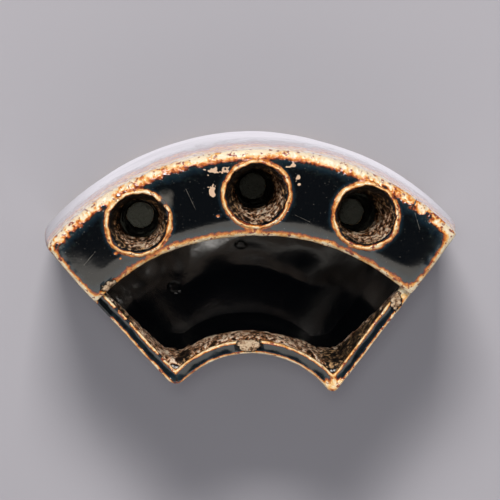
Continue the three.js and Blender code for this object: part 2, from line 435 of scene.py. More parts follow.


# %% [markdown]
# ## Surfaces that remember their edges
# Glaze runs off sharp edges while it melts, so its colour follows them. It could be painted on by hand,
# but the distance to each edge is known when the loops are drawn, so every vertex stores distances:
# thin is how far it lies from an edge, as a share of the width over which the glaze is thin there, cream
# is how much the pale band of the back edge covers it, bare is how far it lies from bare clay, lining and
# groove are how deep it lies in the rough lining, and the last value is how dark that is, which in the
# bores is painted light and shade. Distances blend well between vertices, so the shader can cut crisp,
# ragged borders out of them.

# %% Shared surface helpers
FULL_GLAZE = 3.0
FAR = 50.0
FULL_FINISH = {
    "thin": FULL_GLAZE,
    "cream": 0.0,
    "bare": FAR,
    "lining": -FAR,
    "groove": -FAR,
    "soot": 0.0,
}


def clamped(value):
    """A value held between 0 and 1."""
    return min(max(value, 0), 1)


def layers_of(bm):
    """The layers in which the vertices store their finish."""
    stored = bm.verts.layers.float
    return {name: stored.get(name) or stored.new(name) for name in FULL_FINISH}


def store_finish(bm, finish_at):
    """Stores on each vertex what finish_at gives for its place. What it leaves out is full glaze."""
    layers = layers_of(bm)
    for vert in bm.verts:
        finish = {**FULL_FINISH, **finish_at(vert.co)}
        for name, value in finish.items():
            vert[layers[name]] = max(min(value, FAR), -FAR)


def first_loop(bm, places):
    verts = [bm.verts.new(place) for place in places]
    for here, there in zip(verts, verts[1:] + verts[:1]):
        bm.edges.new((here, there))
    return verts


def loop_edges(bm, ring):
    return [bm.edges.get((here, there)) for here, there in zip(ring, ring[1:] + ring[:1])]


def extrude_to(bm, ring, places):
    """Extrudes a closed ring of vertices and moves the new ring to its places."""
    made = bmesh.ops.extrude_edge_only(bm, edges=loop_edges(bm, ring))["geom"]
    fresh = {item for item in made if isinstance(item, bmesh.types.BMVert)}
    above = []
    for vert, place in zip(ring, places):
        lifted = next(edge.other_vert(vert) for edge in vert.link_edges if edge.other_vert(vert) in fresh)
        lifted.co = place
        above.append(lifted)
    return above


def at_height(loop, height):
    return [Vector((point.x, point.y, height)) for point in loop]


def stacked(bm, loops):
    """Extrudes a skin through closed loops of places, and returns its first and its last ring."""
    rings = []
    for places in loops:
        rings.append(extrude_to(bm, rings[-1], places) if rings else first_loop(bm, places))
    return rings[0], rings[-1]


def cap(bm, ring):
    """Closes a ring with a flat lid."""
    bmesh.ops.triangle_fill(bm, use_beauty=True, use_dissolve=False, edges=loop_edges(bm, ring))


def fill_middle(bm, ring, counts):
    """Closes a ring of four sides with a grid that runs from its front side to its back one."""
    rails = loop_edges(bm, ring)
    front, right, back = counts[:3]
    bmesh.ops.grid_fill(bm, edges=rails[:front] + rails[front + right:front + right + back])


# %% [markdown]
# A hand-built wall is never true. One slow and one quicker noise push every point a little, by its place
# alone, so pieces that touch move together and stay joined. The foot is pressed flat on the board, so
# there the noise fades out.

# %% Hand-made unevenness
SLOW_WOBBLE_SIZE = 30.0
SLOW_WOBBLE = 0.5
QUICK_WOBBLE_SIZE = 8.0
QUICK_WOBBLE = 0.08
RIPPLE_SIZE = 2.6
RIPPLE = 0.13
RIPPLE_FROM = 92.0
RIPPLE_RISE = 4.0
RIPPLE_FILM = 1.6
LEVELLED = 0.05
FOOT_FADE = 24.0
UNEVENNESS_SEED = 1
# Without a seed this noise starts somewhere else in each run, and each vessel would differ.
noise.seed_set(UNEVENNESS_SEED)


def wobbled(place, thin):
    """A place as the hand left it. Thin glaze shows the clay's ripples, and thick glaze levels them."""
    slow = noise.noise_vector(place / SLOW_WOBBLE_SIZE) * SLOW_WOBBLE
    quick = noise.noise_vector(place / QUICK_WOBBLE_SIZE) * QUICK_WOBBLE
    rippling = clamped((place.z - RIPPLE_FROM) / RIPPLE_RISE) * min(max(RIPPLE_FILM - thin, LEVELLED), 1)
    push = slow + quick + noise.noise_vector(place / RIPPLE_SIZE) * RIPPLE * rippling
    push.z *= clamped(place.z / FOOT_FADE)
    return place + push


# %% [markdown]
# ## Marks of its own
# The firing left this vessel marks that no rule gives: bare patches, flakes, blotches of rust and popped
# bubbles. One grey patch beside the left ring is a painted highlight. Each is an oval, placed by its pixel
# in the photograph and the level that it lies on, with half its width and depth in mm. That keeps them
# few, and easy to set against the picture.

# %% Spots on the surface
Spot = namedtuple("Spot", "pixel height half_size")
# Lumps that broke off the rim and the deck's corner, down to the clay.
BARE_SPOTS = (
    Spot((248, 346), RIM_HEIGHT, (3.6, 1.9)),
    Spot((396, 301), RIM_HEIGHT, (1.6, 2.6)),
    Spot((107, 288), VESSEL_HEIGHT, (1.3, 1.0)),
    Spot((112, 284), VESSEL_HEIGHT, (1.3, 0.9)),
)
# Small flakes of glaze that are missing beside the middle ring.
FLAKES = (
    Spot((212, 170), VESSEL_HEIGHT, (1.5, 0.7)),
    Spot((225, 171), VESSEL_HEIGHT, (0.9, 0.6)),
    Spot((213, 191), VESSEL_HEIGHT, (0.9, 1.5)),
    Spot((292, 166), VESSEL_HEIGHT, (1.6, 0.6)),
    Spot((298, 178), VESSEL_HEIGHT, (0.7, 0.8)),
    Spot((299, 184), VESSEL_HEIGHT, (0.4, 0.4)),
    Spot((208, 175), VESSEL_HEIGHT, (0.5, 0.4)),
)
# Small places where the glaze stayed thin and rusty in the middle of the deck.
RUST_SPOTS = (
    Spot((115.5, 253.5), VESSEL_HEIGHT, (0.9, 0.7)),
    Spot((120.5, 258.5), VESSEL_HEIGHT, (0.8, 0.6)),
    Spot((218, 216), VESSEL_HEIGHT, (1.2, 0.9)),
)
# Places of the rim that were rubbed thin right across.
RUBBED_SPOTS = (
    Spot((336, 384), RIM_HEIGHT, (2.8, 1.5)),
    Spot((402, 292.5), RIM_HEIGHT, (2.0, 2.0)),
)
# Places where glaze ran over the left arm's tan line and broke it.
COVERED_SPOTS = (
    Spot((102, 308), RIM_HEIGHT, (2.2, 2.2)),
    Spot((108, 314), RIM_HEIGHT, (1.4, 1.4)),
    Spot((116.5, 309.5), RIM_HEIGHT, (0.9, 0.9)),
    Spot((127.5, 321), RIM_HEIGHT, (0.9, 0.9)),
    Spot((160, 356), RIM_HEIGHT, (0.8, 0.8)),
)
# A painted highlight: a grey-violet patch on the glaze beside the left ring, where its lip's shoulder
# catches the light.
PAINTED_HIGHLIGHTS = (
    Spot((167, 199), VESSEL_HEIGHT, (1.9, 2.4)),
)
# Bubbles that popped in the melt and left rings on the compartment's floor.
POPPED_BUBBLES = (
    Spot((174.5, 287), BASE_THICKNESS, (1.9, 1.7)),
    Spot((241, 244), BASE_THICKNESS, (1.7, 1.3)),
)
# Where the lining is darker.
DARK_LINING_SPOTS = (
    Spot((345, 352), RIM_HEIGHT, (7.0, 6.0)),
    Spot((366, 325), RIM_HEIGHT, (6.0, 8.0)),
    Spot((384, 302), RIM_HEIGHT, (5.0, 6.0)),
    Spot((184, 361), RIM_HEIGHT, (1.8, 2.0)),
    Spot((122, 312), RIM_HEIGHT, (4.0, 4.0)),
)

# Lines on the deck, from one pixel of the photograph to another.
SCRATCHES = (
    ((186, 189), (196, 210)),
    ((84, 265), (95, 252)),
    ((295, 215), (310, 222)),
    ((415, 213), (420, 230)),
)
CRACKS = (((418, 198), (412, 208)),)


def seen_at(pixel, height):
    """The place in the plan, in mm, of a pixel of the photograph, on a given level."""
    nadir = deck_point(NADIR_PIXEL)
    spread = (CAMERA_ABOVE_DECK + VESSEL_HEIGHT - height) / CAMERA_ABOVE_DECK
    place = nadir + (deck_point(pixel) - nadir) * spread
    return Vector((place.x, place.y)) - PLAN_TO_FRAME


def reach_of(place, spot):
    """How far a place lies from a spot's middle: 1 on its outline."""
    off = place.xy - seen_at(spot.pixel, spot.height)
    return Vector((off.x / spot.half_size[0], off.y / spot.half_size[1])).length


def spot_distance(place, spots):
    """How far a place lies outside the nearest spot, in mm. Inside it is below zero."""
    nearest = FAR
    for spot in spots:
        if abs(place.z - spot.height) <= DECK_THICKNESS / 2:
            nearest = min(nearest, (reach_of(place, spot) - 1) * sum(spot.half_size) / 2)
    return nearest


# %% [markdown]
# ## The glaze
# Blue-black iron glaze over buff stoneware, fired glossy. One shader stands for the whole surface, and it
# is built up in the order of the real one: how thick the glaze lies, its colour, its wear, the rough
# lining, and the bare clay. It could be a material for each, but then their borders would have to follow
# the mesh. Each pattern's size is that of the real grain, in mm.

# %% What the shader reads
RUN_DOWN = 0.5
# The size of each pattern in mm, its detail and its roughness.
PATTERNS = {
    "clouds": (14.0, 1.0, 0.55),
    "broad": (5.0, 3.0, 0.55),
    "blotches": (2.4, 2.0, 0.55),
    "fine": (1.2, 4.0, 0.55),
    "specks": (0.5, 1.0, 0.55),
    "pores": (1.5, 4.0, 0.6),
    "clots": (1.5, 4.0, 0.6),
    "grit": (0.8, 2.0, 0.55),
}
# The lining ran down the walls before it set, so its grain is drawn out.
DRAWN_OUT = ("clots", "grit")
DECK_LEVEL = (RIM_HEIGHT + 1, RIM_HEIGHT + 2)

Ground = namedtuple("Ground", "node place flat height on_deck stored grain")


def ground_of(tree):
    """What every layer reads: the place, the height, the stored distances and the patterns."""
    node = partial(add, tree)
    place = node("TexCoord", output="Object")
    drawn_out = node("Mapping", {"Vector": place, "Scale": (1.0, 1.0, RUN_DOWN)})
    flat = node("VectorMath.MULTIPLY", place, (1.0, 1.0, 0.0))
    height = node("SeparateXYZ", place, output="Z")
    on_deck = node("MapRange", height, DECK_LEVEL[0] * MM, DECK_LEVEL[1] * MM)
    stored = {name: node("Attribute", attribute_name=name, output="Fac") for name in FULL_FINISH}
    grain = {}
    for name, (size, detail, roughness) in PATTERNS.items():
        vector = drawn_out if name in DRAWN_OUT else place
        grain[name] = node("TexNoise", vector, 1 / (size * MM), detail, roughness)
    return Ground(node, place, flat, height, on_deck, stored, grain)


def ragged(ground, value, **amounts):
    """A value that patterns push up and down, so that a border cut out of it runs in and out."""
    for name, amount in amounts.items():
        centred = ground.node("Math.SUBTRACT", ground.grain[name], 0.5)
        value = ground.node("Math.ADD", value, ground.node("Math.MULTIPLY", centred, amount))
    return value


# %% Spots and lines in the shader
def spot_reach(ground, spots):
    """How far a place lies from the nearest spot: 1 on the spot's outline."""
    node = ground.node
    nearest = FAR
    for spot in spots:
        centre = (seen_at(spot.pixel, spot.height) + PLAN_TO_FRAME) * MM
        away = node("VectorMath.SUBTRACT", ground.flat, (centre.x, centre.y, 0.0))
        stretch = (1 / (spot.half_size[0] * MM), 1 / (spot.half_size[1] * MM), 0.0)
        reach = node("VectorMath.LENGTH", node("VectorMath.MULTIPLY", away, stretch))
        nearest = node("Math.MINIMUM", nearest, reach)
    return nearest


def line_distance(ground, lines):
    """How far a place on the deck lies from the nearest line, in mm."""
    node = ground.node
    nearest = FAR
    for first, last in lines:
        start = deck_point(first) * MM
        along = deck_point(last) * MM - start
        away = node("VectorMath.SUBTRACT", ground.flat, (start.x, start.y, 0.0))
        share = node("VectorMath.DOT_PRODUCT", away, tuple(along / along.length_squared))
        share = node("Math.MINIMUM", node("Math.MAXIMUM", share, 0.0), 1.0)
        reached = node("VectorMath.MULTIPLY", node("CombineXYZ", share, share), tuple(along))
        distance = node("VectorMath.LENGTH", node("VectorMath.SUBTRACT", away, reached))
        nearest = node("Math.MINIMUM", nearest, node("Math.MULTIPLY", distance, 1 / MM))
    return nearest


# %% [markdown]
# The glaze is thin along every edge and thick between. Where it is thick it is nearly black with a blue
# cast. As it thins it turns blue-green, rust, orange tan and at last cream. Along the back edge it
# gathered in a paler, broader band, whose border wanders most at its two ends.

# %% The glaze's thickness
# The share of its wandering that the band keeps in the middle, and where that share grows, in metres.
CALM = 0.3
CALM_MIDDLE = (0.02, 0.05)
# The share that is left of it away from the band, on the thin tan lines.
LINE_CALM = 0.15
RUST_FILM = 0.42


def film_of(ground):
    """How thick the glaze lies: 0 on an edge, and about 1 where it turns dark."""
    node = ground.node
    from_middle = node("Math.ABSOLUTE", node("SeparateXYZ", ground.place, output="X"))
    unrest = node("MapRange", from_middle, *CALM_MIDDLE, CALM, 1.0)
    blotchy = node("Math.MULTIPLY", ragged(ground, 0.0, blotches=3.4), unrest)
    in_band = node("Math.POWER", ground.stored["cream"], 2.0)
    in_band = node("MapRange", in_band, 0.0, 1.0, LINE_CALM, 1.0)
    wandering = node("Math.MULTIPLY", ragged(ground, blotchy, clouds=1.4), in_band)
    film = ragged(ground, ground.stored["thin"], broad=1.3, fine=0.7)
    film = node("Math.ADD", film, wandering)
    rusty = node("MapRange", spot_reach(ground, RUST_SPOTS), 1.5, 0.3)
    return node("MapRange", node("Math.MULTIPLY", rusty, ground.on_deck), 0.0, 1.0, film, RUST_FILM)


# %% The glaze's colour
DARK_FILM = 2.5
DARK_END = ((0.36, "2b1710"), (0.41, "1f3136"), (0.54, "11202a"), (0.8, "04070a"))
TAN_LINE = ((0.0, "ffeec8"), (0.09, "f9c676"), (0.18, "dc8020"), (0.3, "7a2802"), *DARK_END)
CREAM_BAND = ((0.0, "fdebc8"), (0.13, "f6b856"), (0.22, "dc7408"), (0.31, "8a2e00"), *DARK_END)
MOTTLING = "1c2726"
PIT_RUST = "8e3204"


def glaze_colour(ground, film):
    """The colour that the thickness gives, with dull mottling beside the lines and rusty pits in them."""
    node = ground.node
    pores = ground.grain["pores"]
    shades = node("MapRange", film, 0.0, DARK_FILM)
    tan_line = node("ValToRGB", shades, stops=TAN_LINE)
    cream_band = node("ValToRGB", shades, stops=CREAM_BAND)
    colour = node("Mix", ground.stored["cream"], tan_line, cream_band, data_type="RGBA")
    beside = node("Math.MULTIPLY", node("MapRange", film, 1.2, 1.6), node("MapRange", film, 2.8, 2.0))
    mottled = node("Math.MULTIPLY", beside, node("MapRange", pores, 0.5, 0.62, 0.0, 0.5))
    colour = node("Mix", mottled, colour, MOTTLING, data_type="RGBA")
    pitted = node("Math.MULTIPLY", node("MapRange", film, 0.95, 0.7), node("MapRange", pores, 0.57, 0.62))
    return node("Mix", pitted, colour, PIT_RUST, data_type="RGBA")


# %% [markdown]
# Years of use left dust in the pits of the deck and a few scratches, and a grey patch beside the left ring
# is a painted highlight. A crack runs across the deck's right corner. They are drawn on the surface,
# because they are thinner than its mesh.

# %% Wear of the deck, and a painted highlight
WEAR_AND_HIGHLIGHT_GREY = "8c8880"
DUST_STRENGTH = 0.35
PAINTED_HIGHLIGHT_STRENGTH = 0.42
SCRATCH_STRENGTH = 0.5
SCRATCH_WIDTH = 0.1
CRACK_WIDTH = 0.3
CRACK_COLOUR = "1c100c"


def worn_with_highlight(ground, colour):
    """The colour of the glaze with the dust, the painted highlight, the scratches and the crack of the
    deck.
    """
    node = ground.node
    dust = node("MapRange", ground.grain["specks"], 0.72, 0.78, 0.0, DUST_STRENGTH)
    # Painted highlight: the grey patch beside the left ring stands for light on the lip's shoulder.
    painted_highlight = ragged(ground, spot_reach(ground, PAINTED_HIGHLIGHTS), blotches=1.2)
    painted_highlight = node("MapRange", painted_highlight, 1.4, 0.3, 0.0, PAINTED_HIGHLIGHT_STRENGTH)
    scratch = ragged(ground, line_distance(ground, SCRATCHES), fine=0.3)
    scratch = node("MapRange", scratch, SCRATCH_WIDTH, 0.0, 0.0, SCRATCH_STRENGTH)
    pale = node("Math.MAXIMUM", node("Math.MAXIMUM", dust, painted_highlight), scratch)
    pale = node("Math.MULTIPLY", pale, ground.on_deck)
    colour = node("Mix", pale, colour, WEAR_AND_HIGHLIGHT_GREY, data_type="RGBA")
    crack = ragged(ground, line_distance(ground, CRACKS), fine=1.0)
    crack = node("MapRange", crack, CRACK_WIDTH, CRACK_WIDTH / 2)
    crack = node("Math.MULTIPLY", crack, ground.on_deck)
    return node("Mix", crack, colour, CRACK_COLOUR, data_type="RGBA")


# %% [markdown]
# The bores and the front of the compartment are lined with a coarse, clotted wash that never melted
# smooth. It is tan on its lumps and black between them, and darker in some corners of the compartment.
# In the bores it is painted darker on the side away from the light and deep down, as painted shade. In
# the compartment its lower end follows the line of the deck's shadow, so the black below it is partly
# painted shadow. Bare clay shows where a lump or a flake broke off, buff with dark grog, and the fire
# left it a dark outline.

# %% Lining and bare clay
TAN_CLOTS = ((0.28, "1a110b"), (0.4, "7a4a2b"), (0.52, "c68c5c"), (0.7, "ffebd3"))
# The darker clots and the darkest lining: in the bores they are painted shade, on the unlit side and deep
# down.
DARK_CLOTS = ((0.3, "0c0b0a"), (0.52, "282320"), (0.64, "6a4f38"), (0.76, "e2b684"))
DARKEST_LINING = "120f0d"
CLAY = ((0.15, "3a2a20"), (0.32, "94775c"), (0.5, "bd9d7e"), (0.7, "e2caab"))
# At the left bore's end this grey is a painted reflection, and the dark clay at the other ends is painted
# shade.
PALE_GREY_CLAY = "98968a"
PAINTED_SHADE_CLAY = "22211d"
BURNT_EDGE = "17100b"
FLAKE = "e0bd9d"


def rough_lining(ground):
    """Where the lining covers the surface, the lumps that it dried in, and its colour."""
    node = ground.node
    depth = ragged(ground, ground.stored["lining"], broad=26.0, fine=10.0)
    groove = ragged(ground, ground.stored["groove"], clots=4.0)
    cover = node("Math.MULTIPLY", node("MapRange", depth, -0.5, 0.5), node("MapRange", groove, -0.1, 0.2))
    lumps = ragged(ground, 0.5, clots=2.4, grit=1.0, broad=0.9)
    clean_border = node("MapRange", depth, 8.0, 5.0)
    soot = node("Math.SUBTRACT", ragged(ground, ground.stored["soot"], broad=1.3), clean_border)
    tan_clots = node("ValToRGB", lumps, stops=TAN_CLOTS)
    sooty_clots = node("ValToRGB", lumps, stops=DARK_CLOTS)
    colour = node("Mix", node("MapRange", soot, 0.4, 0.6), tan_clots, sooty_clots, data_type="RGBA")
    colour = node("Mix", node("MapRange", soot, 0.75, 1.05), colour, DARKEST_LINING, data_type="RGBA")
    return cover, lumps, colour


def clay_colour(ground):
    """Buff clay with dark grog, grey where the stored darkness is middling and dark where it is high.
    At the left bore's end that grey is a painted reflection, and at the other two ends the dark is painted
    shade.
    """
    node = ground.node
    soot = ground.stored["soot"]
    colour = node("ValToRGB", ragged(ground, 0.5, pores=2.4, specks=0.8), stops=CLAY)
    colour = node("Mix", node("MapRange", soot, 0.6, 0.8), colour, PALE_GREY_CLAY, data_type="RGBA")
    return node("Mix", node("MapRange", soot, 1.0, 2.0), colour, PAINTED_SHADE_CLAY, data_type="RGBA")


def flaked(ground):
    """Where flakes broke off the deck."""
    edge = ragged(ground, spot_reach(ground, FLAKES), blotches=3.4, fine=3.4)
    return ground.node("Math.MULTIPLY", ground.node("MapRange", edge, 1.05, 0.95), ground.on_deck)


# %% [markdown]
# A bump gives what is finer than the mesh: the lumps of the lining, the pits of thin glaze, the soft
# waves of thick glaze, and the rings that popped bubbles left on the floor.

# %% Relief finer than the mesh
LUMP_BUMP = 0.7
PIT_BUMP = 0.5
BAND_BUMP = 0.55
WAVE_BUMP = 0.05
CLOUD_BUMP = 0.12
FLAKE_BUMP = 0.08
BUBBLE_BUMP = 0.16
BUBBLE_LEVEL = (12.0, 10.0)


def relief_of(ground, film, rough, lumps, flakes):
    """How far the surface stands out, in mm."""
    node = ground.node
    from_ring = node("Math.SUBTRACT", spot_reach(ground, POPPED_BUBBLES), 1.0)
    ring = node("MapRange", node("Math.ABSOLUTE", from_ring), 0.35, 0.0)
    on_floor = node("MapRange", ground.height, BUBBLE_LEVEL[0] * MM, BUBBLE_LEVEL[1] * MM)
    parts = (
        (node("Math.MULTIPLY", rough, lumps), LUMP_BUMP),
        (node("Math.MULTIPLY", node("MapRange", film, 1.2, 0.3), ragged(ground, 0.0, fine=1.0)), PIT_BUMP),
        (node("Math.MULTIPLY", ground.stored["cream"], ragged(ground, 0.0, blotches=1.0)), BAND_BUMP),
        (ground.grain["broad"], WAVE_BUMP),
        (ground.grain["clouds"], CLOUD_BUMP),
        (flakes, FLAKE_BUMP),
        (node("Math.MULTIPLY", ring, on_floor), BUBBLE_BUMP),
    )
    relief = 0.0
    for part, amount in parts:
        relief = node("Math.MULTIPLY_ADD", part, amount, relief)
    return relief


# %% Glaze materials
GLAZE_IOR = 1.6
CLAY_IOR = 1.3
SKIN_ROUGHNESS = 0.13
THIN_ROUGHNESS = 0.28
LINING_ROUGHNESS = 0.5
CLAY_ROUGHNESS = 0.85
FLAKE_ROUGHNESS = 0.6


def make_glaze(name, skin, ior):
    """The finish of the whole vessel. Skin is how much clear, glossy glass lies on top."""
    material = bpy.data.materials.new(name)
    ground = ground_of(empty_tree(material))
    node = ground.node
    film = film_of(ground)
    cover, lumps, lining = rough_lining(ground)
    bare_edge = ragged(ground, ground.stored["bare"], fine=3.0)
    bare = node("MapRange", bare_edge, 0.15, -0.15)
    flakes = flaked(ground)
    colour = worn_with_highlight(ground, glaze_colour(ground, film))
    for mask, over in (
        (cover, lining),
        (node("MapRange", bare_edge, 0.6, 0.35), BURNT_EDGE),
        (bare, clay_colour(ground)),
        (flakes, FLAKE),
    ):
        colour = node("Mix", mask, colour, over, data_type="RGBA")
    roughness = node("MapRange", film, 0.4, 1.1, THIN_ROUGHNESS, SKIN_ROUGHNESS)
    for mask, dullness in ((cover, LINING_ROUGHNESS), (bare, CLAY_ROUGHNESS), (flakes, FLAKE_ROUGHNESS)):
        roughness = node("Math.MAXIMUM", roughness, node("Math.MULTIPLY", mask, dullness))
    relief = relief_of(ground, film, node("Math.MAXIMUM", cover, bare), lumps, flakes)
    bump = node("Bump", {"Height": relief, "Distance": MM, "Strength": 1.0})
    surface = node("BsdfPrincipled", {
        "Base Color": colour, "Roughness": roughness, "IOR": ior, "Normal": bump,
        "Coat Weight": skin, "Coat Roughness": SKIN_ROUGHNESS, "Coat IOR": GLAZE_IOR, "Coat Normal": bump})
    node("OutputMaterial", surface)
    return material


# Glaze that melted to glass: a clear skin over the colour gives it deep, crisp reflections.
glaze = make_glaze("iron_glazed_stoneware", 1.0, GLAZE_IOR)
# The lining and the bare clay never melted smooth: without the skin they look dry and dusty.
dry_glaze = make_glaze("dry_glazed_stoneware", 0.0, CLAY_IOR)
# Glaze that pooled on the compartment's floor: it shines, but more weakly than the walls do.
floor_glaze = make_glaze("pooled_glazed_stoneware", 0.0, GLAZE_IOR)
print("materials:", glaze.name, dry_glaze.name, floor_glaze.name)

# %% [markdown]
# ## Finish a piece
# The rough places are pushed in and out, since their lumps show in outline. Then each piece is made
# uneven, moved from the plan into the frame, turned to metres and shaded smooth, and the frame nodes that
# it stands for are hidden.

# %% Finish helper
CLOD_SIZE = 2.2
CLOD_RELIEF = 0.55
GRIT_SIZE = 0.9
GRIT_RELIEF = 0.25
LINING_RISE = 4.0
BARE_RISE = 2.0
CALM_FOOT = BASE_THICKNESS + 0.5
DRY_EDGE = 0.5
SAME_PLACE = 0.0005


def roughen(bm):
    """Pushes the unglazed and the roughly lined places in and out along their normals."""
    bm.normal_update()
    layers = layers_of(bm)
    for vert in bm.verts:
        depth = min(vert[layers["lining"]] / LINING_RISE, vert[layers["groove"]])
        amount = clamped(max(depth, -vert[layers["bare"]] * BARE_RISE))
        if amount > 0 and vert.co.z > CALM_FOOT:
            drawn = Vector((vert.co.x, vert.co.y, vert.co.z * RUN_DOWN))
            push = noise.noise(drawn / CLOD_SIZE) * CLOD_RELIEF
            push += noise.noise(drawn / GRIT_SIZE) * GRIT_RELIEF
            vert.co += vert.normal * push * amount


def is_dry(face, layers):
    """Whether a face lies in the rough lining or on bare clay."""
    depth = max(min(vert[layers["lining"]], vert[layers["groove"]]) for vert in face.verts)
    return depth > 0 or min(vert[layers["bare"]] for vert in face.verts) < DRY_EDGE


def finish_piece(name, bm, slot, *nodes, glazed=glaze):
    """Gives a piece its last shape, its place in the frame and its glazes, and hides the frame nodes that
    it stands for.
    """
    bmesh.ops.remove_doubles(bm, verts=bm.verts, dist=SAME_PLACE)
    bmesh.ops.recalc_face_normals(bm, faces=bm.faces)
    roughen(bm)
    layers = layers_of(bm)
    for vert in bm.verts:
        vert.co = wobbled(vert.co, vert[layers["thin"]])
        vert.co.x += PLAN_TO_FRAME.x
        vert.co.y += PLAN_TO_FRAME.y
    bmesh.ops.scale(bm, vec=(MM, MM, MM), verts=bm.verts)
    for face in bm.faces:
        face.smooth = True
        face.material_index = 1 if is_dry(face, layers) else 0
    piece = shown(name, bm)
    piece.data.materials.append(glazed)
    piece.data.materials.append(dry_glaze)
    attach(piece, "root")
    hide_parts(*nodes)
    print(name, "faces:", len(piece.data.polygons))


# %% [markdown]
# ## The four walls
# The slabs are luted into one ring and smoothed over, so one surface stands for all four: up the
# outside, over the rim and down the inside. Four boxes could be joined, but then each corner would show
# a seam that the real one hasn't. The rim is slightly dished. Its two edges shed the glaze and show as
# two tan lines, and the dish between them keeps it. Below the rim the wall gets thicker, because the
# rim was pinched.

# %% Walls: sizes
WALL_COUNTS = (72, 84, 160, 84)
OUTER_ROUNDING = (3.6, 2.2, 1.0, 1.8)
INNER_ROUNDING = 1.0
PLAIN_STEP = 2.0
FINE_STEP = 0.9
FINE_DEPTH = 42.0
SHOULDER = {"front": 0.9, "right": 0.1, "back": 0.0, "left": 0.4}
SHOULDER_START = 1.3
SHOULDER_END = 6.0
# How far the rim has fallen at each inset from its edge, and then how much of the dish is reached.
RIM_CURVE = ((0.0, 1.0), (0.06, 0.6), (0.25, 0.22), (0.5, 0.05), (0.75, 0.0))
RIM_DISH = 0.15
DISH_SHARES = ((1.0, 0.4), (1.3, 0.9))


def shoulder(side, height):
    """How much thicker than its rim a wall is at a height. The rim was pinched thin."""
    share = clamped((RIM_HEIGHT - SHOULDER_START - height) / (SHOULDER_END - SHOULDER_START))
    return SHOULDER[side] * share * share * (3 - 2 * share)


def wall_loop(height, inset, from_inside):
    """A loop on the walls, at an inset from their outer or their inner faces."""
    insets = dict.fromkeys(SIDES, inset)
    if from_inside:
        insets = {side: THICKNESS[side] + shoulder(side, height) - inset for side in SIDES}
    edges = [outer_face(side, height, insets[side]) for side in SIDES]
    guesses = [CORNERS[side] for side in SIDES]
    roundings = [max(corner - insets[side], INNER_ROUNDING) for corner, side in zip(OUTER_ROUNDING, SIDES)]
    return closed_loop(edges, guesses, roundings, WALL_COUNTS)


def between(low, high, step):
    """Values from low to just under high, about a step apart."""
    count = max(round((high - low) / step), 1)
    return [low + (high - low) * i / count for i in range(count)]


def wall_rows():
    """The height, inset and face of each loop, from the foot outside over the rim to the floor inside."""
    top = RIM_HEIGHT - RIM_CURVE[0][1]
    fine = top - FINE_DEPTH
    inside = between(BASE_THICKNESS, fine, PLAIN_STEP) + between(fine, top, FINE_STEP)
    rim = [(RIM_HEIGHT - drop, inset) for inset, drop in RIM_CURVE]
    rim += [(RIM_HEIGHT - RIM_DISH * share, inset) for inset, share in DISH_SHARES]
    rows = [(height, 0.0, False) for height in between(BASE_THICKNESS, top, PLAIN_STEP)]
    rows += [(height, inset, False) for height, inset in rim]
    rows += [(height, inset, True) for height, inset in reversed(rim)]
    return rows + [(height, 0.0, True) for height in reversed(inside)]


# %% Where the lining and its darker patches lie
GROOVE_DEPTH = 1.3
# The lining ends at this height on the front wall, and higher up the nearer it gets to the divider,
# along the line of the deck's shadow, so the black glaze below it is partly painted shadow.
LINING_AT_FRONT = 72.0
LINING_FRONT_Y = -21.7
SHADOW_LINE_SLOPE = 1.27
# Where it reaches further down, in the front corners that the light reaches deeper, so its tan there is
# partly painted light: the middle of each, half its width and how much further, in mm.
LIT_CORNER_RUNS = ((-22.0, 12.0, 10.0), (25.0, 15.0, 24.0))
LEAST_DARKNESS = 0.2
MOST_DARKNESS = 0.82
DARKNESS_REACH = 1.6


def lining_of(place):
    """How far above the lining's lower end a place on the compartment's walls lies, in mm."""
    x, y = place.xy + PLAN_TO_FRAME
    lower_end = LINING_AT_FRONT + (y - LINING_FRONT_Y) * SHADOW_LINE_SLOPE
    for corner_x, reach, extra in LIT_CORNER_RUNS:
        lower_end -= extra * max(1 - abs(x - corner_x) / reach, 0)
    return place.z - lower_end


def darkness_of(place):
    """How dark the lining is at a place: 1 in its darkest corners."""
    return min(max(LEAST_DARKNESS, *(DARKNESS_REACH - reach_of(place, spot) for spot in DARK_LINING_SPOTS)), MOST_DARKNESS)


def lining_finish(place):
    below_rim = RIM_HEIGHT - GROOVE_DEPTH - place.z
    return {"lining": lining_of(place), "groove": below_rim, "soot": darkness_of(place)}


# %% [markdown]
# Glaze runs thin on both edges of the rim and on the upright corners, and the back wall keeps a cream blush
# below the deck, which fades further down. Here too the walls store how far each place lies from those
# edges, and leave the colours to the shader.

# %% Where the walls' glaze is thin
OUTER_LINE = 0.75
INNER_LINE = 0.8
LINE_SHARPNESS = 1.7
ARRIS_LINE = 3.5
ARRIS_FILM = 0.3
BLUSH_DEPTH = 22.0
BLUSH_FILM = 0.2
CREAM_DEPTH = 25.0
WALL_CREAM = 0.5
RUBBED_FILM = 0.1
COVERED_FILM = 2.5
ON_BACK = 0.5
ON_INSIDE = -0.02


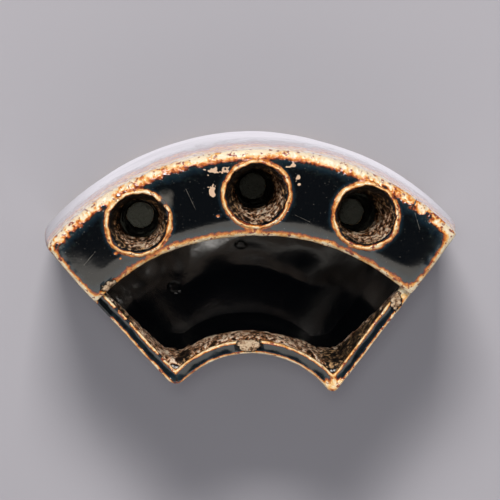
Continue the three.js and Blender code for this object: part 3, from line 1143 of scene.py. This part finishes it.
def wall_finish(place):
    outer_insets = {side: inset_of(outer_face(side, place.z), place.xy) for side in SIDES}
    inner = min(inset_of(outer_face(side, place.z, THICKNESS[side]), place.xy) for side in SIDES)
    edge_in, edge_drop = RIM_CURVE[2]
    drop = RIM_HEIGHT - edge_drop - place.z
    nearest, next_nearest = sorted(outer_insets.values())[:2]
    from_outer = math.hypot(nearest - edge_in, drop) / OUTER_LINE
    from_inner = math.hypot(inner + edge_in, drop) / INNER_LINE
    thin = min(from_outer, from_inner) ** LINE_SHARPNESS
    cream = 0.0
    is_inside = inner > ON_INSIDE
    if not is_inside:
        thin = min(thin, ARRIS_FILM + next_nearest / ARRIS_LINE)
        if outer_insets["back"] < ON_BACK:
            cream = WALL_CREAM * max(1 - (RIM_HEIGHT - place.z) / CREAM_DEPTH, 0)
            thin = min(thin, BLUSH_FILM + (RIM_HEIGHT - place.z) / BLUSH_DEPTH)
    thin = min(thin, RUBBED_FILM + max(spot_distance(place, RUBBED_SPOTS), 0))
    thin = max(thin, 0) + COVERED_FILM * clamped(-spot_distance(place, COVERED_SPOTS))
    finish = {"thin": thin, "cream": cream, "bare": spot_distance(place, BARE_SPOTS)}
    return {**finish, **lining_finish(place)} if is_inside else finish


# %% Make the walls
CROWN_AT = 0.65
OUTER_FALL = 0.42
INNER_FALL = 0.2
FALL_DEPTH = 8.0


def front_fall(place):
    """The front rim was wiped round, so it falls to its outer edge and a little to its inner one."""
    share = inset_of(outer_face("front", place.z), place.xy) / THICKNESS["front"]
    off = clamped(share) - CROWN_AT
    high = clamped(1 - (RIM_HEIGHT - place.z) / FALL_DEPTH)
    if off < 0:
        return OUTER_FALL * (off / CROWN_AT) ** 2 * high
    return INNER_FALL * (off / (1 - CROWN_AT)) ** 2 * high


def make_walls():
    bm = bmesh.new()
    first, last = stacked(bm, (
        at_height(wall_loop(height, inset, from_inside), height)
        for height, inset, from_inside in wall_rows()))
    bmesh.ops.bridge_loops(bm, edges=loop_edges(bm, last) + loop_edges(bm, first))
    store_finish(bm, wall_finish)
    for vert in bm.verts:
        vert.co.z -= front_fall(vert.co)
    finish_piece("walls", bm, "glaze", "front_wall", "right_wall", "back_wall", "left_wall")


make_walls()

# %% [markdown]
# ## The deck
# A slab with a soft, rounded back edge, laid over the walls. Its top sags to the front edge and the two
# ends, and droops most at its front corners, where it catches a grey reflection. A box with a bevel
# could stand for it, but its edges differ in width. So it is made of loops that shrink towards the
# middle, where a grid fills the last gap, and the holes are cut with cylinders.

# %% Deck: sizes and loops
DECK_COUNTS = (180, 40, 180, 40)
DECK_ROUNDING = (1.2, 1.2, 1.0, 1.8)
LEAST_ROUNDING = 0.4
SKIRT = 1.4
SKIRT_STEP = 0.7
PROUD = 0.03
EDGE_WIDTH = {"front": 1.4, "right": 1.8, "back": 2.6, "left": 1.5}
EDGE_DROP = 1.7
EDGE_STEPS = 8
TOP_STEP = 0.55
TOP_INSET = 4.4
DECK_CORNERS = {
    "front": Vector((-MOUTH_WIDTH / 2, DECK_FRONT_CROWN)),
    "right": Vector((MOUTH_WIDTH / 2, DECK_FRONT_CROWN)),
    "back": CORNERS["back"],
    "left": CORNERS["left"],
}


def deck_edge(side, height, inset=0.0):
    return moved(DECK_FRONT, -inset) if side == "front" else outer_face(side, height, inset)


def deck_loop(height, edge_share, extra):
    """A loop on the deck: a share of the rounded edge's width, then the same extra inset all round."""
    edges = [deck_edge(side, height, EDGE_WIDTH[side] * edge_share + extra) for side in SIDES]
    used = EDGE_WIDTH["right"] * edge_share + extra
    roundings = [max(rounding - used, LEAST_ROUNDING) for rounding in DECK_ROUNDING]
    return closed_loop(edges, [DECK_CORNERS[side] for side in SIDES], roundings, DECK_COUNTS)


def deck_rows():
    """Height, share of the edge's width and extra inset of each loop, from the skirt to the flat top."""
    out = -PROUD / EDGE_WIDTH["right"]
    skirt = between(RIM_HEIGHT - SKIRT, VESSEL_HEIGHT - EDGE_DROP, SKIRT_STEP)
    rows = [(height, out, 0.0) for height in skirt]
    for step in range(EDGE_STEPS + 1):
        angle = math.pi / 2 * step / EDGE_STEPS
        rows.append((VESSEL_HEIGHT - EDGE_DROP * (1 - math.sin(angle)), 1 - math.cos(angle), 0.0))
    top = between(TOP_STEP, TOP_INSET + TOP_STEP, TOP_STEP)
    return rows + [(VESSEL_HEIGHT, 1.0, extra) for extra in top]


# %% How the deck sags
FRONT_SAG = 1.1
FRONT_SAG_WIDTH = 6.5
END_SAG = 0.5
END_SAG_WIDTH = 9.0
CORNER_SAG = {"left": 1.8, "right": 0.8}
CORNER_SAG_WIDTH = {"left": 26.0, "right": 12.0}


def deck_sag(point):
    """How far the deck's top lies below its full height at a point of the plan."""
    front = inset_of(DECK_FRONT, point)
    ends, end = min((inset_of(outer_face(side, VESSEL_HEIGHT), point), side) for side in ("left", "right"))
    corner = math.hypot(max(front, 0), max(ends, 0))
    sag = FRONT_SAG * max(1 - max(front, 0) / FRONT_SAG_WIDTH, 0) ** 2
    sag += END_SAG * max(1 - max(ends, 0) / END_SAG_WIDTH, 0) ** 2
    return sag + CORNER_SAG[end] * max(1 - corner / CORNER_SAG_WIDTH[end], 0) ** 2


# %% Where the deck's glaze is thin
LINE_WIDTH = {"front": 1.7, "right": 1.5, "back": 2.3, "left": 1.1}
# The back edge's band runs down over it, so a drop counts for little there.
DROP_WEIGHT = {"front": 1.0, "right": 1.0, "back": 0.11, "left": 1.0}
EDGE_CREST = 0.35
BAND_REACH = 1.35
CORNER_SOFTNESS = 1.8
LIP = 2.35
LIP_LINE = 0.9
LIP_FILM = 0.7


def soft_min(one, other):
    """The smaller of two numbers, with a rounded change from one to the other."""
    closeness = max(CORNER_SOFTNESS - abs(one - other), 0) / CORNER_SOFTNESS
    return min(one, other) - closeness ** 2 * CORNER_SOFTNESS / 4


def lip_distance(point):
    return min((point - centre).length - TUBE_BORES[side] for side, centre in TUBE_CENTRES.items())


def deck_finish(place):
    """The glaze is thin along the rounded edges and round the lips of the tubes."""
    halo = max(LIP_FILM + (lip_distance(place.xy) - LIP) / LIP_LINE, 0)
    thin = FULL_GLAZE + CORNER_SOFTNESS
    away = {}
    for side in SIDES:
        inset = inset_of(deck_edge(side, VESSEL_HEIGHT), place.xy)
        drop = max(VESSEL_HEIGHT - place.z - EDGE_DROP / 2, 0) * DROP_WEIGHT[side]
        across = max(inset - EDGE_WIDTH[side] * EDGE_CREST, 0)
        away[side] = math.hypot(across, drop) / LINE_WIDTH[side]
        thin = soft_min(thin, away[side])
    return {
        "thin": max(min(thin, halo), 0),
        "cream": clamped(BAND_REACH - away["back"]),
        "bare": spot_distance(place, BARE_SPOTS),
    }


# %% Make the deck
TURN_STEPS = 128
HOLE_PLAY = 0.3
CUTTER_DEPTH = 4 * DECK_THICKNESS


def deck_blank():
    bm = bmesh.new()
    bottom, top = stacked(bm, (
        at_height(deck_loop(height, edge_share, extra), height)
        for height, edge_share, extra in deck_rows()))
    fill_middle(bm, top, DECK_COUNTS)
    cap(bm, bottom)
    bmesh.ops.recalc_face_normals(bm, faces=bm.faces)
    return shown("deck_blank", bm)


def hole_cutter():
    bm = bmesh.new()
    for side, centre in TUBE_CENTRES.items():
        radius = TUBE_BORES[side] + TUBE_WALL + HOLE_PLAY
        made = bmesh.ops.create_cone(
            bm, cap_ends=True, segments=TURN_STEPS, radius1=radius, radius2=radius, depth=CUTTER_DEPTH)
        bmesh.ops.translate(bm, verts=made["verts"], vec=(centre.x, centre.y, RIM_HEIGHT))
    return shown("hole_cutter", bm)


def make_deck():
    blank = deck_blank()
    cutter = hole_cutter()
    cut = blank.modifiers.new("holes", "BOOLEAN")
    cut.object = cutter
    cut.operation = "DIFFERENCE"
    cut.solver = "EXACT"
    cut_mesh = bpy.data.meshes.new_from_object(blank.evaluated_get(bpy.context.evaluated_depsgraph_get()))
    for helper in (blank, cutter):
        bpy.data.objects.remove(helper)
    bm = bmesh.new()
    bm.from_mesh(cut_mesh)
    store_finish(bm, deck_finish)
    for vert in bm.verts:
        vert.co.z -= deck_sag(vert.co.xy) * clamped((vert.co.z - RIM_HEIGHT) / DECK_THICKNESS)
    finish_piece("deck", bm, "glaze", "deck_slab")


make_deck()

# %% [markdown]
# ## The brush tubes
# Each tube is thrown or rolled, closed at its lower end and narrower there. It is pushed through the deck
# and its lip is pressed out over the slab, so a profile spun about the tube's axis makes it. The lip
# follows the deck's sag. The bore is rough and tan near the mouth and dark further down. Its lining is
# painted paler on the side that the light falls on, which is painted light, and darker on the other side
# and deep down, which is painted shade.

# %% Brush tubes: profile
BORE_STEPS = 64
BORE_CROWDING = 1.4
MOUTH_FLARE = 1.2
FLARE_CURVE = 9
MOUTH_DEPTH = 0.2
BOTTOM_ROUND = 1.4
END_THICKNESS = 3.0
LIP_HEIGHT = 0.8
LIP_CREST = 0.85
# The lip's section: how far in from its outer edge each point lies, and how deep below the deck's top.
LIP_SECTION = (
    (0.0, 0.4),
    (0.0, 0.1),
    (0.15, -0.25),
    (0.45, -0.6),
    (LIP_CREST, -LIP_HEIGHT),
    (1.15, -0.65),
    (1.35, -0.3),
)


def tube_profile(side):
    """Radius and depth below the deck's top, from the closed end's outside, over the lip, to the inside."""
    bore = TUBE_BORES[side]
    shank = bore + TUBE_WALL
    below = TUBE_DEPTH + END_THICKNESS
    rows = [(0.0, below), (TUBE_END_RADIUS + 0.5, below), (TUBE_END_RADIUS + 1.5, below - 1)]
    rows += [(shank, DECK_THICKNESS + 2), (shank, 1.0)]
    rows += [(bore + LIP - across, depth) for across, depth in LIP_SECTION]
    rows += [(bore + MOUTH_FLARE, MOUTH_DEPTH)]
    for step in range(1, BORE_STEPS + 1):
        share = step / BORE_STEPS
        flare = MOUTH_FLARE * (1 - share) ** FLARE_CURVE
        depth = MOUTH_DEPTH + (TUBE_DEPTH - BOTTOM_ROUND) * share ** BORE_CROWDING
        rows.append((bore + (TUBE_END_RADIUS - bore) * depth / TUBE_DEPTH + flare, depth))
    rows += [(TUBE_END_RADIUS - 0.4, TUBE_DEPTH - 0.5), (TUBE_END_RADIUS - 1.3, TUBE_DEPTH)]
    return rows + [(0.0, TUBE_DEPTH)]


# %% Where the tubes' glaze is thin
# Painted light: how much paler the lining is painted at the front and at the right of each bore, the sides
# that the light falls on.
PAINTED_LIGHT_FRONT = 0.7
PAINTED_LIGHT_RIGHT = 0.35
# The lip's crest, and how fast the glaze gets thicker from it towards the bore.
CREST_WIDTH = 0.1
CREST_FILM = 0.1
INNER_FALL_OFF = 1.8
# How many mm the tan line runs down into the bore, and how many more on its lit side, as painted light.
BORE_LINE = 0.8
LIT_BORE_LINE = 4.5
# How deep the lining starts below the mouth, further down on the lit side as painted light, and how deep it
# ends.
BORE_GROOVE = 0.4
LIT_GROOVE = 1.6
BORE_LINING = 30.0
LINING_GAIN = 4.0
# How dark the lining is: painted shade on the bore's unlit side and deep down past the lining's end, and
# darker round the mouth.
PAINTED_SHADE_SIDE = 1.1
MOUTH_DARKENING = 0.4
MOUTH_DARKENING_DEPTH = 10.0
DEEP_PAINTED_SHADE = 3.5
DEEP_PAINTED_SHADE_RISE = (3.0, 8.0)
# The bores' ends: the left one painted a paler grey, a painted reflection, the middle and right ones
# darker, painted shade.
END_PAINTED_LIGHT_AND_SHADE = {"left": 1.0, "middle": 1.75, "right": 1.5}
# A gap in the left ring, where thick glaze runs over the lip: its direction and half its width.
LIP_GAP = {"left": (0.71, 0.09)}
GAP_FILM = 2.5
GAP_SHARPNESS = 1.5


def painted_light_share(place):
    """How much painted light a place in a bore gets: most at its front and its right, the sides that the
    light falls on.
    """
    radius = max(place.xy.length, 0.1)
    front = 0.5 - 0.5 * place.y / radius
    right = 0.5 + 0.5 * place.x / radius
    return min(PAINTED_LIGHT_FRONT * front + PAINTED_LIGHT_RIGHT * right, 1)


def lip_film(side, place):
    """How thick the glaze lies on a tube: thinnest on the lip's crest."""
    radius = place.xy.length
    crest = TUBE_BORES[side] + LIP - LIP_CREST
    film = CREST_FILM + max(radius - crest, 0) / (LIP - LIP_CREST) * LIP_FILM
    film += max(crest - radius - CREST_WIDTH, 0) * INNER_FALL_OFF
    # Painted light: the tan line runs further down on the side that the light falls on.
    film += max(-place.z, 0) / (BORE_LINE + LIT_BORE_LINE * painted_light_share(place))
    if side in LIP_GAP:
        direction, reach = LIP_GAP[side]
        off = abs(math.atan2(place.y, place.x) - direction)
        film += GAP_FILM * clamped(GAP_SHARPNESS * (1 - off / reach))
    return film


def tube_finish(side, place):
    """The finish on a tube before it is moved to its place: its axis is the Z axis, its top at zero."""
    radius = place.xy.length
    depth = -place.z
    on_shank = radius > TUBE_BORES[side] + TUBE_WALL - 0.1 and depth > 0.3
    if on_shank or depth > TUBE_DEPTH + 0.5:
        return {"thin": lip_film(side, place)}
    lit = painted_light_share(place)
    at_end = depth > TUBE_DEPTH - 1
    lead, rise = DEEP_PAINTED_SHADE_RISE
    # Painted shade: darker on the bore's unlit side and deep down past the lining's end, and darker round
    # the mouth too.
    soot = PAINTED_SHADE_SIDE - lit + MOUTH_DARKENING * max(1 - depth / MOUTH_DARKENING_DEPTH, 0)
    soot += DEEP_PAINTED_SHADE * clamped((depth - BORE_LINING + lead) / rise)
    return {
        "thin": lip_film(side, place),
        "bare": radius - TUBE_END_RADIUS if at_end else FAR,
        "lining": max((BORE_LINING - depth) * LINING_GAIN, 1),
        "groove": depth - BORE_GROOVE - LIT_GROOVE * lit ** 2,
        "soot": END_PAINTED_LIGHT_AND_SHADE[side] if at_end else soot,
    }


# %% Make the tubes
SHEAR = {"left": (0.0, 0.0), "middle": (0.0, 0.0), "right": (-1.4, -1.4)}
LUMP_DEPTH = 2.5
LUMP_SIZE = 5.0
LUMPS = ((1.0, 0.6), (3.0, 0.35))


def lumpiness(side, place):
    """How far the lip's lumps push a place outwards, in mm. They fade out above and below the lip."""
    near = place / LUMP_SIZE + Vector(TUBE_CENTRES[side]).to_3d()
    push = sum(noise.noise(near * density) * size for density, size in LUMPS)
    return push * max(1 - abs(place.z) / LUMP_DEPTH, 0)


def make_tube(side):
    bm = bmesh.new()
    verts = [bm.verts.new((radius, 0, -depth)) for radius, depth in tube_profile(side)]
    edges = [bm.edges.new(pair) for pair in zip(verts, verts[1:])]
    bmesh.ops.spin(bm, geom=verts + edges, axis=(0, 0, 1), cent=(0, 0, 0), angle=2 * math.pi,
                   steps=TURN_STEPS, use_merge=True)
    bmesh.ops.remove_doubles(bm, verts=bm.verts, dist=0.001)
    store_finish(bm, partial(tube_finish, side))
    for vert in bm.verts:
        vert.co *= 1 + lumpiness(side, vert.co) / TUBE_BORES[side]
        depth = -vert.co.z
        place = vert.co.xy + TUBE_CENTRES[side] + Vector(SHEAR[side]) * clamped(depth / TUBE_DEPTH)
        sag = deck_sag(place) * clamped(1 - depth / DECK_THICKNESS)
        vert.co = Vector((place.x, place.y, VESSEL_HEIGHT - depth - sag))
    finish_piece(f"tube_{side}", bm, "thin_glaze", f"brush_tube_{side}")


for side in TUBE_CENTRES:
    make_tube(side)

# %% [markdown]
# ## The divider
# A curved slab closes the compartment under the deck's front edge. It is pressed into the side walls a
# little, as a potter lutes it, and it is glazed like them. Both of its faces are arcs about one centre,
# so loops stacked up its height make it.

# %% Divider
DIVIDER_COUNTS = (110, 6, 110, 6)
DIVIDER_ROUNDING = (0.2, 0.2, 0.2, 0.2)
DIVIDER_STEP = 2.0
DIVIDER_TOP = RIM_HEIGHT + 0.6
BEHIND_DECK = 0.06
LUTED = 0.3


def divider_loop(height):
    edges = [
        moved(DECK_FRONT, -BEHIND_DECK),
        outer_face("right", height, THICKNESS["right"] - LUTED),
        Edge(DECK_FRONT.centre, DECK_FRONT.radius + DIVIDER_THICKNESS, 1),
        outer_face("left", height, THICKNESS["left"] - LUTED),
    ]
    left, right = DECK_CORNERS["front"], DECK_CORNERS["right"]
    return closed_loop(edges, (left, right, right, left), DIVIDER_ROUNDING, DIVIDER_COUNTS)


def make_divider():
    bm = bmesh.new()
    heights = between(BASE_THICKNESS, DIVIDER_TOP, DIVIDER_STEP) + [DIVIDER_TOP]
    bottom, top = stacked(bm, (at_height(divider_loop(height), height) for height in heights))
    cap(bm, top)
    cap(bm, bottom)
    store_finish(bm, lambda place: {})
    finish_piece("divider", bm, "glaze", "divider_wall")


make_divider()

# %% [markdown]
# ## The base
# The base is the compartment's floor. It was smoothed with wet fingers, so it rises gently to the divider.
# Its underside and its foot are bare clay, because glaze there would fuse it to the kiln shelf. The same
# curves as the walls' draw it, so the two meet without a gap.

# %% Base
BASE_COUNTS = (130, 70, 130, 70)
FOOT_CHAMFER = 0.8
UNDERSIDE_INSETS = (10.0, 6.0, 3.0, 1.5, FOOT_CHAMFER)
FOOT_CURVE = ((0.15, 0.35), (0.5, 0.08), (FOOT_CHAMFER + 0.2, 0.0))
FOOT_HEIGHTS = (2.0, 3.0, 4.0, 4.6, BASE_THICKNESS)
GLAZE_LINE = 4.0
FLOOR_LIFT = 0.3
FLOOR_STEP = 0.8
FLOOR_INSET = 6.0
DISH_RISE = 2.6
DISH_WIDTH = 17.0
DISH_WANDER = 6.0
DISH_WANDER_SIZE = 13.0
DISH_CURVE = 1.3
FLOOR_TILT = 0.04


def base_loop(height, inset):
    edges = [outer_face(side, height, inset) for side in SIDES]
    roundings = [max(corner - inset, INNER_ROUNDING) for corner in OUTER_ROUNDING]
    return closed_loop(edges, [CORNERS[side] for side in SIDES], roundings, BASE_COUNTS)


def floor_rise(point):
    """How far the compartment's floor rises at a point, most beside the divider."""
    divider = max(-inset_of(DECK_FRONT, point), 0)
    width = DISH_WIDTH + DISH_WANDER * noise.noise(point.to_3d() / DISH_WANDER_SIZE)
    return DISH_RISE * max(1 - divider / width, 0) ** DISH_CURVE + FLOOR_TILT * divider


def make_base():
    bm = bmesh.new()
    rows = [(0.0, inset) for inset in UNDERSIDE_INSETS]
    rows += [*FOOT_CURVE, *((height, 0.0) for height in FOOT_HEIGHTS)]
    floor_insets = [0.05] + between(2.0, FLOOR_INSET, FLOOR_STEP)
    rows += [(BASE_THICKNESS + FLOOR_LIFT, inset) for inset in floor_insets]
    bottom, top = stacked(bm, (at_height(base_loop(height, inset), height) for height, inset in rows))
    fill_middle(bm, top, BASE_COUNTS)
    cap(bm, bottom)
    for vert in bm.verts:
        if vert.co.z > BASE_THICKNESS + FLOOR_LIFT / 2:
            vert.co.z += floor_rise(vert.co.xy)
    store_finish(bm, lambda place: {"bare": place.z - GLAZE_LINE})
    finish_piece("base", bm, "bare_clay", "base_slab", glazed=floor_glaze)


make_base()

# %% [markdown]
# ## The corner coils
# A roll of soft clay is pressed into each front corner of the compartment to strengthen the joint. It
# shows beside the rim as a rough smear with a rounded end. Its section is the corner of the two walls,
# closed by a hollow curve, and it shrinks over the last few loops.

# %% Corner coils
COIL_REACH = 7.0
COIL_TOP = RIM_HEIGHT - 4.0
COIL_STEP = 1.0
COIL_SIDE_STEPS = 12
COIL_BITE = 0.4
COIL_HOLLOW = 0.3
COIL_END = 3.0
COIL_END_STEPS = 6
COIL_TIP = 0.8
# The plan's corner that a coil fills, and the one that its side wall runs to.
COIL_CORNERS = {"left": ("front", "left"), "right": ("right", "back")}


def coil_outline(side, height, reach):
    wall = outer_face(side, height, THICKNESS[side] - COIL_BITE)
    front = outer_face("front", height, THICKNESS["front"] - COIL_BITE)
    filled, far = COIL_CORNERS[side]
    corner = cross(wall, front, CORNERS[filled])
    around = Edge(corner, reach, 1)
    on_wall = cross(wall, around, CORNERS[far])
    on_front = cross(front, around, Vector((0, FRONT_RISE)))
    start, end = (on_front, on_wall) if side == "left" else (on_wall, on_front)
    hollow = ((on_wall + on_front) / 2).lerp(corner, COIL_HOLLOW)
    shares = [step / COIL_SIDE_STEPS for step in range(COIL_SIDE_STEPS)]
    path = [corner.lerp(start, share) for share in shares]
    for share in shares:
        path.append(start * (1 - share) ** 2 + hollow * 2 * share * (1 - share) + end * share ** 2)
    return path + [end.lerp(corner, share) for share in shares]


def make_coil(side):
    bm = bmesh.new()
    rows = [(height, COIL_REACH) for height in between(BASE_THICKNESS, COIL_TOP, COIL_STEP)]
    for step in range(COIL_END_STEPS + 1):
        angle = math.pi / 2 * step / COIL_END_STEPS
        rows.append((COIL_TOP + COIL_END * math.sin(angle), max(COIL_REACH * math.cos(angle), COIL_TIP)))
    bottom, top = stacked(bm, (
        at_height(coil_outline(side, height, reach), height) for height, reach in rows))
    cap(bm, top)
    cap(bm, bottom)
    store_finish(bm, lining_finish)
    finish_piece(f"corner_coil_{side}", bm, "thin_glaze", f"front_{side}_corner_coil")


for side in ("left", "right"):
    make_coil(side)
